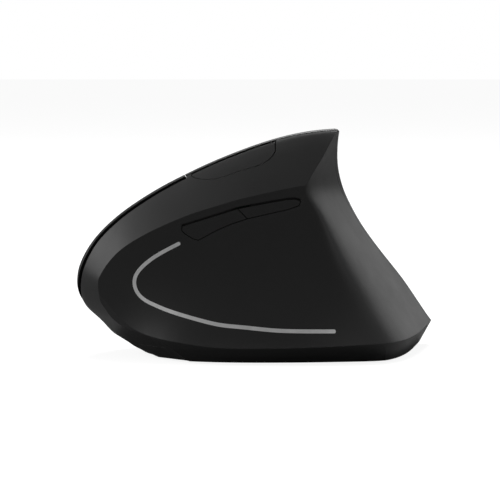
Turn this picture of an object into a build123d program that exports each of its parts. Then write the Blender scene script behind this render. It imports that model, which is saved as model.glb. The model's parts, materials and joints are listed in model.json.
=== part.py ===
from build123d import *
from math import cos, exp, hypot, pi, radians, sin, sqrt
import os

# Vertical mouse for the right hand, seen from the thumb side.
# Frame: x runs from the nose (-) to the rear (+), y from the thumb side (-) to the finger side (+),
# z is up from the bottom of the feet. The origin is the bottom centre of the bounding box.

# Main sizes, millimetres.
LENGTH = 120.0
WIDTH = 62.8
HEIGHT = 75.2

# Wall and seam sizes.
WALL = 2.0
PLATE = 2.0
KEY_PLATE = 1.8
KEY_GAP = 1.4
SEAM = 0.3
KEY_LOW_GAP = 0.45
FOOT_T = 0.6

# Outer form: places along the body are shares of LENGTH, heights are shares of HEIGHT and
# sideways places are shares of WIDTH.
THUMB_TOP_Y_SHARES = [
    (-0.55, -0.1274), (-0.5167, -0.1354), (-0.4167, -0.1592), (-0.3583, -0.1911), (-0.275, -0.215),
    (-0.1667, -0.2309), (0.0, -0.2389), (0.1417, -0.2389), (0.3333, -0.2389), (0.6667, -0.2389),
]
THUMB_EDGE_Y_SHARES = [
    (-0.5833, -0.0955), (-0.5, -0.1354), (-0.4333, -0.1624), (-0.3833, -0.207), (-0.3417, -0.2548),
    (-0.3, -0.3185), (-0.225, -0.4045), (-0.15, -0.4618), (-0.0667, -0.4904), (0.0333, -0.4992),
    (0.1333, -0.4952), (0.2333, -0.4777), (0.3167, -0.4522), (0.4167, -0.414), (0.55, -0.3662),
    (0.6667, -0.3248),
]
THUMB_EDGE_Z_SHARES = [
    (-0.5833, 0.3989), (-0.5, 0.2926), (-0.4333, 0.2527), (-0.3833, 0.1729), (-0.3417, 0.1396),
    (-0.3, 0.1223), (-0.225, 0.0951), (-0.15, 0.0791), (-0.0333, 0.0731), (0.1, 0.0745),
    (0.2, 0.0801), (0.3, 0.0858), (0.4167, 0.0891), (0.5, 0.0931), (0.6667, 0.1),
]
THUMB_TOP_Z_SHARES = [
    (-0.5833, 0.4521), (-0.5, 0.4787), (-0.4333, 0.5053), (-0.3833, 0.5319), (-0.3, 0.5718),
    (-0.1667, 0.625), (0.0, 0.6649), (0.1667, 0.6915), (0.3333, 0.7048), (0.6667, 0.7181),
]
CREASE_X_SHARES = [
    (-0.133, 0.4225), (0.0, 0.3817), (0.1011, 0.3492), (0.1729, 0.3208), (0.2367, 0.2942),
    (0.2979, 0.2717), (0.3763, 0.245), (0.4468, 0.2225), (0.5253, 0.2), (0.5984, 0.1817),
    (0.6702, 0.1592), (0.758, 0.1342), (0.8245, 0.1467), (0.9043, 0.1683), (0.984, 0.1867),
    (1.1436, 0.2167),
]
REAR_X_SHARES = [
    (-0.133, 0.6333), (0.0, 0.5625), (0.1144, 0.4965), (0.1995, 0.4602), (0.3112, 0.412),
    (0.4255, 0.356), (0.5372, 0.3048), (0.6503, 0.2637), (0.762, 0.2352), (0.875, 0.2242),
    (0.984, 0.2275), (1.0638, 0.2375), (1.1436, 0.2583),
]
CREASE_SOFT_SHARES = [
    (-0.133, 0.32), (0.1064, 0.32), (0.266, 0.28), (0.4388, 0.2), (0.5984, 0.11), (0.758, 0.04),
    (1.1436, 0.03),
]
REAR_POWER_SHARES = [
    (-0.133, 1.75), (0.1064, 1.7), (0.3989, 1.45), (0.5984, 1.25), (0.758, 1.1), (1.1436, 1.1),
]
FAR_FOOT_Y_SHARES = [
    (-0.5833, -0.2229), (-0.55, -0.1115), (-0.5167, 0.008), (-0.5, 0.068), (-0.475, 0.1369),
    (-0.4333, 0.2102), (-0.3833, 0.2707), (-0.3167, 0.3344), (-0.2333, 0.3949), (-0.1333, 0.4459),
    (0.0, 0.4873), (0.1667, 0.5096), (0.3333, 0.5127), (0.5167, 0.5), (0.6667, 0.4745),
]
CREST_Y_SHARES = [
    (-0.5833, -0.0159), (-0.5, -0.0064), (-0.375, -0.0127), (-0.1667, -0.0207), (0.225, -0.0191),
    (0.6667, -0.0191),
]
CREST_Z_SHARES = [
    (-0.5833, 0.3), (-0.5167, 0.335), (-0.5, 0.3757), (-0.4842, 0.4262), (-0.4657, 0.4795),
    (-0.4403, 0.5328), (-0.4072, 0.586), (-0.3667, 0.6392), (-0.3183, 0.6915), (-0.2633, 0.7447),
    (-0.1992, 0.7979),
    (-0.1292, 0.8511), (-0.0475, 0.9043), (0.05, 0.9574), (0.1167, 0.984), (0.2, 0.9973),
    (0.3333, 1.0106), (0.6667, 1.0372),
]
BAND_SHARES = [
    (0.5167, 1.0266, 0.4167, 0.8218, -0.2389, -0.0414),
    (0.3333, 1.0133, 0.275, 0.7926, -0.2389, -0.0414),
    (0.2267, 1.0027, 0.1833, 0.7726, -0.2389, -0.0414),
    (0.165, 0.9953, 0.1267, 0.7603, -0.2389, -0.0414),
    (0.115, 0.9827, 0.08, 0.7479, -0.2389, -0.0414),
    (0.05, 0.9577, 0.0217, 0.7279, -0.2389, -0.0414),
    (-0.0478, 0.9047, -0.06, 0.6948, -0.2389, -0.0414),
    (-0.1292, 0.8517, -0.12, 0.667, -0.2357, -0.0398),
    (-0.1992, 0.7987, -0.175, 0.6392, -0.2309, -0.0366),
    (-0.2632, 0.7455, -0.228, 0.6065, -0.2229, -0.0334),
    (-0.3183, 0.6924, -0.2763, 0.5705, -0.215, -0.0303),
    (-0.3667, 0.6392, -0.3198, 0.5312, -0.207, -0.0271),
    (-0.4072, 0.586, -0.3595, 0.4912, -0.1943, -0.0239),
    (-0.4403, 0.5328, -0.39, 0.4515, -0.1799, -0.0207),
    (-0.4657, 0.4795, -0.413, 0.414, -0.1672, -0.0175),
    (-0.4842, 0.4262, -0.4286, 0.379, -0.1592, -0.0143),
    (-0.4957, 0.3729, -0.4369, 0.3455, -0.1592, -0.0111),
    (-0.4989, 0.3217, -0.4386, 0.3125, -0.1592, -0.008),
    (-0.4958, 0.2846, -0.4368, 0.2794, -0.1592, -0.0048),
    (-0.4858, 0.2434, -0.4305, 0.246, -0.1624, 0.0),
    (-0.4717, 0.2068, -0.4182, 0.2141, -0.1672, 0.008),
    (-0.4517, 0.1755, -0.4022, 0.185, -0.1847, 0.0159),
    (-0.4275, 0.1395, -0.3792, 0.159, -0.2166, 0.0159),
    (-0.4, 0.0957, -0.3575, 0.1405, -0.2452, 0.0),
    (-0.3708, 0.069, -0.3317, 0.129, -0.2803, -0.0318),
    (-0.3417, 0.0435, -0.305, 0.117, -0.3153, -0.0796),
    (-0.31, 0.0238, -0.2775, 0.102, -0.3503, -0.1433),
    (-0.275, 0.0085, -0.2433, 0.077, -0.3822, -0.207),
    (-0.225, -0.006, -0.2042, 0.037, -0.414, -0.2548),
    (-0.15, -0.026, -0.1458, -0.01, -0.4459, -0.2866),
    (-0.0417, -0.052, -0.0417, -0.047, -0.4777, -0.3185),
    (0.1, -0.0731, 0.1, -0.0718, -0.4777, -0.3185),
    (0.2917, -0.1064, 0.2917, -0.1064, -0.4777, -0.3185),
    (0.5167, -0.133, 0.5167, -0.133, -0.4777, -0.3185),
]
FAR_POWER = 1.35
FAR_FOOT_Z = 8.0
FAR_FOOT_SOFT = 0.14
FLARE_POWER = 2.5
FLARE_SOFT = 0.1
FLARE_LIMIT = 1.6
CREST_SOFT = 0.15
PULL_LIMIT = 0.3
PROBE = 0.05
NOSE_REACH = 70.0
REAR_REACH = 4.0
FAR_REACH = 90.0
CREST_EDGE = 0.1
NOSE_EDGE = 0.6
NOSE_EDGE_START = -20.0
NOSE_EDGE_SPAN = 36.0
NOSE_EDGE_POWER = 1.5
NOSE_EDGE_LOW = 17.0
NOSE_EDGE_RISE = 6.0
TIP_R = 1.5

# Columns and levels of the points that the sheets are drawn through.
NEAR_COLUMN_SHARES = [-1.0, -0.86, -0.72, -0.6, -0.49, -0.39, -0.3, -0.22, -0.15, -0.09, -0.05,
                      -0.02, 0.0, 0.02, 0.05, 0.09, 0.15, 0.23, 0.33, 0.46, 0.62, 0.8, 1.0]
LEVEL_SHARES = [-0.11, -0.04, 0.03, 0.065, 0.105, 0.16, 0.225, 0.305, 0.4, 0.49, 0.585, 0.665,
                0.73, 0.8, 0.88, 0.96, 1.07]
FAR_LEVEL_SHARES = [-0.08, -0.02, 0.05, 0.105, 0.16, 0.225, 0.305, 0.4, 0.49, 0.585, 0.665,
                    0.73, 0.8, 0.88, 0.96, 1.05]
FAR_COLUMN_SHARES = [-0.57, -0.54, -0.52, -0.508, -0.492, -0.475, -0.45, -0.417, -0.375, -0.317,
                     -0.25, -0.167, -0.067, 0.05, 0.183, 0.333, 0.467, 0.617]
BAND_LEVEL_SHARES = [0.064, 0.04, 0.016, -0.008, -0.032, -0.056, -0.08, -0.111, -0.143, -0.175,
                     -0.207, -0.239, -0.287, -0.334, -0.398, -0.478, -0.573]

# Seam between shells and base, and the sloping skirt below it.
PARTING_Z = 5.5
PARTING_TILT = 1.5
SKIRT_COLUMN_SHARES = [-0.5, -0.43, -0.37, -0.31, -0.25, -0.19, -0.12, -0.03, 0.06, 0.15, 0.22,
                       0.27, 0.305, 0.33, 0.345]
REAR_COLUMN_SHARES = [0.345, 0.36, 0.38, 0.405, 0.43, 0.455, 0.48, 0.5, 0.52]
NEAR_SKIRT_SLOPE_SHARES = [(-0.5, 0.12), (-0.3, 0.2), (-0.15, 0.45), (0.0, 0.5), (0.3, 0.5), (0.36, 0.4)]
REAR_SKIRT_SLOPE_SHARES = [(0.345, 0.35), (0.38, 0.38), (0.42, 0.42), (0.48, 0.52), (0.52, 0.55)]
REAR_EDGE_Z_SHARES = [(0.345, 0.0878), (0.42, 0.089), (0.45, 0.093), (0.475, 0.1), (0.52, 0.11)]
FAR_SKIRT_SLOPE_SHARES = [(-0.5, 0.2), (0.5, 0.2)]
SKIRT_TOP = 78.0
SKIRT_LOW = -3.0
SKIRT_LEAD = 40.0

# Seams of the finger side, drawn in the side view.
REAR_SEAM_SHARES = [(-0.215, 0.9), (-0.2, 0.8), (-0.122, 0.665), (-0.067, 0.532), (-0.042, 0.332),
                    (-0.058, 0.2), (-0.1, 0.066), (-0.13, -0.02)]
SIDE_REACH = 100.0

# Buttons of the thumb side, drawn in the side view.
FORWARD_OUTLINE_SHARES = [(-0.2046, 0.5836), (-0.0527, 0.6605), (-0.0263, 0.6164), (-0.0693, 0.5938),
                          (-0.1084, 0.567), (-0.1418, 0.5382), (-0.1598, 0.5223), (-0.1754, 0.529),
                          (-0.1975, 0.5512), (-0.206, 0.5648)]
BACK_OUTLINE_SHARES = [(-0.0527, 0.6605), (-0.0137, 0.6728), (0.0421, 0.6895), (0.0838, 0.7008),
                       (0.1035, 0.7022), (0.1164, 0.6972), (0.1195, 0.6903), (0.115, 0.674),
                       (0.083, 0.656), (0.033, 0.6383), (-0.0263, 0.6164)]
STRIP_SHARES = [(-0.2141, 0.5069), (-0.2524, 0.4749), (-0.2858, 0.4423), (-0.3158, 0.4017),
                (-0.3323, 0.3649), (-0.3359, 0.3328), (-0.3308, 0.3021), (-0.3154, 0.2714),
                (-0.2851, 0.2453), (-0.2518, 0.2253), (-0.2117, 0.2065), (-0.162, 0.1866),
                (-0.0959, 0.1653), (-0.0464, 0.1585), (0.0473, 0.1453), (0.1132, 0.1419),
                (0.2085, 0.141)]
DPI_OUTLINE_SHARES = [(-0.1786, 0.851), (-0.1537, 0.81), (-0.1204, 0.7832), (-0.0904, 0.7872),
                      (-0.047, 0.8115), (0.0013, 0.833), (0.0247, 0.8573), (0.0402, 0.891),
                      (0.0494, 0.938)]

# Finger side chassis. Its own plane lies on the finger face above the wheel: u runs to the nose,
# v up along the face and w out of it.
WHEEL_X = -34.0
WHEEL_Z = 27.0
FINGER_LEAN = 0.26
WHEEL_R = 11.6
WHEEL_T = 6.4
WHEEL_DEPTH = 7.4
TYRE_T = 1.8
TYRE_LUGS = 30
TYRE_LUG_R = 0.45
RIM_T = 1.6
RIM_INSET = 0.5
HUB_R = 3.0
WEB_T = 2.0
SPOKE_HOLES = 6
SPOKE_HOLE_R = 1.5
AXLE_R = 1.0
PIN_GAP = 0.06
SLOT_L = 24.5
SLOT_W = 8.6
SLOT_SHIFT = 0.4
BOARD_W = -14.0
BOARD_T = 1.6
FRAME_T = 1.6
FRAME_EDGE = 1.0
BOARD_NOSE = 11.4
BOARD_REAR = -21.0
BOARD_TOP = 15.0
BOARD_LOW = -14.2
BOARD_LOW_NOSE = -10.0
BOARD_BEND = -6.0
WHEEL_WINDOW_L = 21.6
WHEEL_WINDOW_W = 8.8
CHEEK_V = 4.2
CHEEK_T = 1.2
CRADLE_HALF_L = 13.8
CRADLE_BAR_T = 1.4
CRADLE_TOP_W = -5.2
CRADLE_LOW_W = -12.8
LUG_L = 3.0
LUG_HALF_W = 2.2
LUG_TOP_W = -9.0
GUIDE_R = 1.0
GUIDE_TOP_W = -7.6
GUIDE_HOLE_R = 1.4
TONGUE_END = 18.0
TONGUE_HALF_W = 3.4
SPRING_R = 1.7
SPRING_WIRE_R = 0.2
SPRING_TURNS = 3
ENCODER_L = 9.0
ENCODER_T = 4.2
ENCODER_TOP_W = -4.8
ENCODER_LOW_W = -12.2
CLICK_TAB_V = -9.6
CLICK_SWITCH_V = -8.0
CLICK_TAB_HALF_L = 1.8
CLICK_TAB_LOW_W = -10.5
CLICK_TAB_TOP_W = -9.3
CLICK_TRAVEL = 0.5
TACT_L = 4.5
TACT_BODY_T = 1.6
TACT_KNOB_R = 1.0
SWITCH_L = 12.8
SWITCH_T = 5.8
SWITCH_H = 6.5
SWITCH_KNOB_L = 1.6
SWITCH_KNOB_H = 0.6
SWITCH_U = -12.6
SWITCH_V = 10.8
KNOB_U = -8.4
KEY_FREE = 0.35
KEY_POST_R = 1.5
HINGE_U = -23.6
HINGE_W = -6.4
HINGE_PIN_R = 1.0
HINGE_EYE_R = 2.0
HINGE_EYE_V = 5.0
HINGE_EYE_L = 4.0
HINGE_LUG_T = 1.4
HINGE_SIDE = 0.3
KEY_ROOT = 0.5
FRAME_POSTS = ((8.6, 12.2), (-3.0, 12.6))
POST_R = 2.4
POST_REACH = 40.0
SCREW_R = 1.0
SCREW_HEAD_R = 1.9
SCREW_HEAD_T = 1.3
SCREW_BITE = 5.0
RIB_X = -21.2
RIB_T = 1.6
RIB_LOW_Z = 9.0
RIB_TOP_Z = 22.0

# Thumb side buttons and their board.
BUTTON_GAP = 0.13
TOP_GAP = 0.5
FLANGE_EDGE = 0.9
FLANGE_T = 0.9
FLANGE_GAP = 0.1
STEM_R = 1.4
STEM_END_Y = -11.1
THUMB_TRAVEL = 0.5
THUMB_BOARD_Y = -8.4
THUMB_BOARD_T = 1.2
THUMB_BOARD_LOW = (-22.0, 34.5)
THUMB_BOARD_HIGH = (12.0, 50.5)
THUMB_STEMS = ((-14.0, 45.0), (4.5, 49.4))
THUMB_POSTS = ((-11.0, 37.0), (8.6, 42.5))
STRIP_W = 1.2
STRIP_T = 0.9

# Ridge button.
DPI_TILT_Y = 0.6
DPI_TILT_Z = 0.8
DPI_PLANE_Y = -8.0
DPI_X = -8.0
DPI_Y = -7.4
DPI_Z = 61.9
DPI_SKIN = 2.0
DPI_GAP = 0.34
DPI_BACK_GAP = 0.7
DPI_TRAVEL = 0.5
DPI_STEM_END = -3.6
DPI_BOARD_W = -6.8
DPI_BOARD_HALF = 5.0
DPI_RIB_T = 1.6
DPI_BOARD_BACK = 3.7
DPI_RIB_FRONT = 7.0
DPI_RIB_LOW = -8.6
FORWARD_FLANGE_X = (-25.4, -7.4)
BACK_FLANGE_X = (-2.4, 14.8)

# Base: boards, battery bay, receiver pocket, feet.
FLOOR_Z = 2.6
MAIN_BOARD_LOW = (-28.4, -15.2)
MAIN_BOARD_HIGH = (-10.8, 15.0)
MAIN_BOARD_Z = 4.6
MAIN_BOARD_T = 1.6
MAIN_POSTS = ((-26.2, -12.6), (-13.2, -12.6), (-26.2, 12.7))
MAIN_POST_R = 2.0
SENSOR_X = -20.0
SENSOR_Y = -1.0
SENSOR_L = 10.0
SENSOR_W = 8.0
SENSOR_T = 2.2
SENSOR_HOLE_R = 2.6
LENS_L = 10.0
LENS_W = 8.0
LENS_NOSE_R = 3.2
LENS_LOW = 1.4
WINDOW_R = 3.5
CHIP_L = 4.4
CHIP_T = 1.0
CHIP_PLACES = ((-22.6, -8.2), (-14.2, 6.0))
CELL_R = 5.25
CELL_L = 44.5
CELL_TIP_R = 1.9
CELL_TIP_L = 0.8
CELL_FRONT = -5.6
CELL_YS = (-2.4, 8.9)
CELL_Z = 7.8
CONTACT_T = 0.8
CONTACT_R = 3.6
CONTACT_SPRING_R = 2.4
CONTACT_TURNS = 2
BAY_WALL = 1.4
BAY_TOP = 14.0
BAY_END_GAP = 1.6
DOOR_T = 1.5
DOOR_LIP = 1.2
DOOR_GAP = 0.2
DOOR_PIN_R = 0.45
DOOR_PIN_L = 1.0
DOOR_GRIP_R = 0.5
DOOR_GRIPS = 5
DOOR_GRIP_PITCH = 1.6
RECEIVER_X = 12.0
RECEIVER_Y = 20.6
RECEIVER_CAP_L = 15.0
RECEIVER_CAP_W = 6.4
RECEIVER_CAP_H = 6.4
RECEIVER_PLUG_L = 12.0
RECEIVER_PLUG_W = 4.5
RECEIVER_PLUG_H = 9.0
RECEIVER_PLUG_T = 0.3
RECEIVER_LOW = 0.9
RECEIVER_GAP = 0.15
POCKET_WALL = 1.1
BASE_SCREWS = ((-32.0, -3.0, 9.5), (-20.0, -18.6, 26.0), (32.0, -18.8, 26.0), (46.0, 13.0, 26.0),
               (-1.5, 24.8, 22.0))
BASE_BOSS_R = 3.0
BASE_HEAD_R = 2.1
BASE_HEAD_Z = 2.0
BASE_HEAD_T = 1.2
BASE_SHANK_R = 1.1
BASE_SCREW_TOP = 12.0
BOSS_RUN = 30.0
NOSE_RIB_X = -52.0
NOSE_RIB_T = 2.0
SLIDER_X = -21.0
SLIDER_Y = 8.0
SLIDER_L = 4.0
SLIDER_W = 3.0
SLIDER_TRAVEL = 2.4
SLIDER_LOW = 0.8
SLIDER_GAP = 0.2
SLIDER_FLANGE = 0.9
POWER_BODY_L = 6.8
POWER_BODY_W = 3.6
POWER_BODY_T = 1.0
FRONT_FOOT = ((-27.3, -7.0), (-27.3, 9.0), 4.4)
NEAR_FOOT = ((-8.0, -19.4), (22.0, -19.0), 5.6)
FAR_FOOT = ((-13.4, 19.4), (-1.6, 25.2), 3.6)
REAR_FOOT = ((43.6, -8.0), (48.6, 20.0), 4.6)
RING_FOOT_R = 4.7
RING_FOOT_HOLE_R = 3.7
RIBBON_T = 0.4
FINGER_RIBBON_X = (-16.4, -12.4)
FINGER_RIBBON_Y = 10.5
FINGER_RIBBON_TOP = 17.0
THUMB_RIBBON_X = (-19.4, -15.4)
THUMB_RIBBON_Y = -8.0


def curve(rows, at):
    """Smooth line through (place, value) rows, straight beyond both ends."""
    last = len(rows) - 1

    def rate(i):
        (start, low), (end, high) = rows[i], rows[i + 1]
        return (high - low) / (end - start)

    def slope(i):
        if i == 0 or i == last:
            return rate(min(i, last - 1))
        before, after = rows[i][0] - rows[i - 1][0], rows[i + 1][0] - rows[i][0]
        return (rate(i - 1) * after + rate(i) * before) / (before + after)

    if at <= rows[0][0]:
        return rows[0][1] + slope(0) * (at - rows[0][0])
    if at >= rows[last][0]:
        return rows[last][1] + slope(last) * (at - rows[last][0])
    i = max(k for k in range(last) if rows[k][0] <= at)
    step = rows[i + 1][0] - rows[i][0]
    t = (at - rows[i][0]) / step
    rise = t * t * (3 - 2 * t)
    return (rows[i][1] * (1 - rise) + rows[i + 1][1] * rise
            + step * t * (1 - t) * ((1 - t) * slope(i) - t * slope(i + 1)))


def sized(shares, place_size, value_size):
    """Rows of shares turned into rows of lengths."""
    return [(place * place_size, value * value_size) for place, value in shares]


THUMB_TOP_Y = sized(THUMB_TOP_Y_SHARES, LENGTH, WIDTH)
THUMB_EDGE_Y = sized(THUMB_EDGE_Y_SHARES, LENGTH, WIDTH)
THUMB_EDGE_Z = sized(THUMB_EDGE_Z_SHARES, LENGTH, HEIGHT)
THUMB_TOP_Z = sized(THUMB_TOP_Z_SHARES, LENGTH, HEIGHT)
CREASE_X = sized(CREASE_X_SHARES, HEIGHT, LENGTH)
REAR_X = sized(REAR_X_SHARES, HEIGHT, LENGTH)
CREASE_SOFT = sized(CREASE_SOFT_SHARES, HEIGHT, 1)
REAR_POWER = sized(REAR_POWER_SHARES, HEIGHT, 1)
FAR_FOOT_Y = sized(FAR_FOOT_Y_SHARES, LENGTH, WIDTH)
CREST_Y = sized(CREST_Y_SHARES, LENGTH, WIDTH)
CREST_Z = sized(CREST_Z_SHARES, LENGTH, HEIGHT)
REAR_EDGE_Z = sized(REAR_EDGE_Z_SHARES, LENGTH, HEIGHT)
NEAR_SKIRT_SLOPE = sized(NEAR_SKIRT_SLOPE_SHARES, LENGTH, 1)
REAR_SKIRT_SLOPE = sized(REAR_SKIRT_SLOPE_SHARES, LENGTH, 1)
FAR_SKIRT_SLOPE = sized(FAR_SKIRT_SLOPE_SHARES, LENGTH, 1)


def softened(value, soft):
    """Value where it is positive, going softly to zero where it is not."""
    return (value + hypot(value, soft)) / 2


def far_y(x, z):
    """Finger side of the body: a convex sheet from the skirt up to the crest."""
    up = softened((z - FAR_FOOT_Z) / (curve(CREST_Z, x) - FAR_FOOT_Z), FAR_FOOT_SOFT)
    foot = curve(FAR_FOOT_Y, x)
    return foot + (curve(CREST_Y, x) - foot) * up ** FAR_POWER


def thumb_y(x, z):
    """Thumb side of the body: upright at the top, flaring out to the skirt edge."""
    edge_z = curve(THUMB_EDGE_Z, x)
    down = softened(1 - (z - edge_z) / (curve(THUMB_TOP_Z, x) - edge_z), FLARE_SOFT)
    top = curve(THUMB_TOP_Y, x)
    return top + (curve(THUMB_EDGE_Y, x) - top) * min(down, FLARE_LIMIT) ** FLARE_POWER


def near_y(x, z):
    """Thumb side and rear face as one sheet, with a crease that softens downwards."""
    crease, rear, soft = curve(CREASE_X, z), curve(REAR_X, z), curve(CREASE_SOFT, z)
    back = softened((x - crease) / (rear - crease), soft) / softened(1, soft)
    return thumb_y(x, z) + (far_y(rear, z) - thumb_y(rear, z)) * back ** curve(REAR_POWER, z)


def offset_y(sheet, x, z, inset):
    """Sheet moved square to itself by inset, along +y for a positive one."""
    slope_x = (sheet(x + PROBE, z) - sheet(x - PROBE, z)) / (2 * PROBE)
    slope_z = (sheet(x, z + PROBE) - sheet(x, z - PROBE)) / (2 * PROBE)
    return sheet(x, z) + inset * sqrt(1 + slope_x ** 2 + slope_z ** 2)


def spacing(sections):
    """Running mean distance along the sections, one spline parameter for each point."""
    total = [0.0]
    for i in range(len(sections[0]) - 1):
        steps = [sqrt(sum((b - a) ** 2 for a, b in zip(row[i], row[i + 1]))) for row in sections]
        total.append(total[-1] + sum(steps) / len(steps))
    return total


def closed_section(points, corners=(), parameters=None):
    """Spline through the points, closed by straight edges through the corners."""
    vectors = [Vector(*p) for p in points]
    ring = [vectors[-1], *[Vector(*c) for c in corners], vectors[0]]
    lines = [Edge.make_line(a, b) for a, b in zip(ring, ring[1:])]
    return Wire([Edge.make_spline(vectors, parameters=parameters), *lines])


def sheet_solid(sections, reach, ruled=False):
    """Loft through sections, each closed by straight edges at the places that reach gives."""
    parameters = spacing(sections)
    wires = [closed_section(row, [reach(row[-1]), reach(row[0])], parameters) for row in sections]
    return Solid.make_loft(wires, ruled)


def side_prism(face, length):
    """Side view face drawn out along +y."""
    return extrude(face, amount=length, dir=(0, 1, 0))


def near_column(share, z):
    """Place along x of one column of points of the near side."""
    crease = curve(CREASE_X, z)
    if share < 0:
        return crease + share * (crease + NOSE_REACH)
    return crease + share * (curve(REAR_X, z) + REAR_REACH - crease)


def near_solid(inset=0.0):
    """All space on the finger side of the thumb face and the rear face."""
    sections = []
    for z in [share * HEIGHT for share in LEVEL_SHARES]:
        columns = [near_column(s, z) for s in NEAR_COLUMN_SHARES]
        sections.append([(x, offset_y(near_y, x, z, inset), z) for x in columns])
    return sheet_solid(sections, lambda end: (end[0], FAR_REACH, end[2]))


def far_solid(inset=0.0):
    """All space on the thumb side of the finger face."""
    columns = [share * LENGTH for share in FAR_COLUMN_SHARES]
    sections = []
    for z in [share * HEIGHT for share in FAR_LEVEL_SHARES]:
        sections.append([(x, offset_y(far_y, x, z, -inset), z) for x in columns])
    return sheet_solid(sections, lambda end: (end[0], -FAR_REACH, end[2]))


def inward(points, i):
    """Unit direction into the body, square to the outline at point i."""
    before, after = points[max(i - 1, 0)], points[min(i + 1, len(points) - 1)]
    along_x, along_z = after[0] - before[0], after[1] - before[1]
    size = hypot(along_x, along_z)
    return -along_z / size, along_x / size


def rim_step(x, z):
    """Step of the finger side plates over the thumb shell at the crest, wider at the nose."""
    ahead = min(max((NOSE_EDGE_START - x) / NOSE_EDGE_SPAN, 0), 1) ** NOSE_EDGE_POWER
    above = min(max((z - NOSE_EDGE_LOW) / NOSE_EDGE_RISE, 0), 1)
    return CREST_EDGE + (NOSE_EDGE - CREST_EDGE) * ahead * above


def band_outline(y, inset, step):
    """Side outline at one place along y: the crest line drawn in towards the band edge.

    step is the share of the rim step that it has: 1 on the thumb shell, 0 on the plates.
    """
    crest = [(row[0] * LENGTH, row[1] * HEIGHT) for row in BAND_SHARES]
    points = []
    for i, row in enumerate(BAND_SHARES):
        edge_x, edge_z = row[2] * LENGTH, row[3] * HEIGHT
        edge_y, crest_y = row[4] * WIDTH, row[5] * WIDTH
        across = max((crest_y - y) / (crest_y - edge_y), 0)
        if across > 1:
            across = 1 + PULL_LIMIT * (1 - exp((1 - across) / PULL_LIMIT))
        pull = (hypot(across, CREST_SOFT) - CREST_SOFT) / (hypot(1, CREST_SOFT) - CREST_SOFT)
        shift = inset + step * rim_step(*crest[i]) * max(1 - pull, 0)
        into_x, into_z = inward(crest, i)
        points.append((crest[i][0] + pull * (edge_x - crest[i][0]) + shift * into_x, y,
                       crest[i][1] + pull * (edge_z - crest[i][1]) + shift * into_z))
    return points


def band_solid(inset=0.0, step=1):
    """Side outline as a body along y, drawn in by the ridge band on the thumb side."""
    sections = [band_outline(share * WIDTH, inset, step) for share in BAND_LEVEL_SHARES]
    parameters = spacing(sections)
    wires = [closed_section(row, (), parameters) for row in sections]
    start = BAND_LEVEL_SHARES[0] * WIDTH
    return side_prism(Face(wires[0]), FAR_REACH - start) + Solid.make_loft(wires, False)


def parting_z(x):
    """Height of the seam between the shells and the base."""
    return PARTING_Z + x * sin(radians(PARTING_TILT))


def sheared(rows, z, inset):
    """Skirt line at height z: every point runs inwards on its way down."""
    return [(x + ((edge - z) * slope + inset) * into_x,
             y + ((edge - z) * slope + inset) * into_y, z)
            for x, y, edge, slope, into_x, into_y in rows]


def skirt_rows(line, slopes, side):
    """Skirt line with its slope and its inward direction at every point."""
    rows = []
    last = len(line) - 1
    for i, (x, y, edge) in enumerate(line):
        before, after = line[max(i - 1, 0)], line[min(i + 1, last)]
        along_x, along_y = after[0] - before[0], after[1] - before[1]
        size = hypot(along_x, along_y) * side
        rows.append((x, y, edge, curve(slopes, x), -along_y / size, along_x / size))
    first, second = rows[0], rows[1]
    lead = SKIRT_LEAD / hypot(second[0] - first[0], second[1] - first[1])
    start = (first[0] + lead * (first[0] - second[0]), first[1] + lead * (first[1] - second[1]))
    end_a, end_b = rows[-1], rows[-2]
    lead = SKIRT_LEAD / hypot(end_a[0] - end_b[0], end_a[1] - end_b[1])
    end = (end_a[0] + lead * (end_a[0] - end_b[0]), end_a[1] + lead * (end_a[1] - end_b[1]))
    return [(*start, *first[2:]), *rows, (*end, *end_a[2:])]


def skirt_side(line, slopes, side, reach_x, reach_y, inset):
    """Space on the inner side of one sloping side of the skirt."""
    rows = skirt_rows(line, slopes, side)
    sections = []
    for z in (SKIRT_LOW, SKIRT_TOP):
        sections.append(sheared(rows, z, inset))
    return sheet_solid(sections, lambda end: (end[0] if reach_x is None else reach_x,
                                              end[1] if reach_y is None else reach_y, end[2]), True)


def skirt_solid(inset=0.0):
    """Space inside the three sloping sides of the skirt."""
    near = [(s * LENGTH, near_y(s * LENGTH, curve(THUMB_EDGE_Z, s * LENGTH)),
             curve(THUMB_EDGE_Z, s * LENGTH)) for s in SKIRT_COLUMN_SHARES]
    rear = [(s * LENGTH, near_y(s * LENGTH, curve(REAR_EDGE_Z, s * LENGTH)),
             curve(REAR_EDGE_Z, s * LENGTH)) for s in REAR_COLUMN_SHARES]
    far = [(s * LENGTH, far_y(s * LENGTH, parting_z(s * LENGTH)), parting_z(s * LENGTH))
           for s in FAR_COLUMN_SHARES[1:-1]]
    body = skirt_side(near, NEAR_SKIRT_SLOPE, 1, None, FAR_REACH, inset)
    body = body & skirt_side(rear, REAR_SKIRT_SLOPE, 1, -NOSE_REACH, None, inset)
    return body & skirt_side(far, FAR_SKIRT_SLOPE, -1, None, -FAR_REACH, inset)


def corner_box(low, high):
    """Box between two opposite corners."""
    size = [b - a for a, b in zip(low, high)]
    return Pos(*low) * Box(*size, align=(Align.MIN, Align.MIN, Align.MIN))


def rod(radius, start, axis, length):
    """Round bar from a start point along an axis."""
    place = Plane(origin=start, z_dir=axis)
    return place * Cylinder(radius, length, align=(Align.CENTER, Align.CENTER, Align.MIN))


def side_outline(shares):
    """Side view points of a table of shares."""
    return [(x * LENGTH, z * HEIGHT) for x, z in shares]


def side_face(points, y):
    """Flat face in a side view plane."""
    return Face(Wire.make_polygon([Vector(x, y, z) for x, z in points], close=True))


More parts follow.
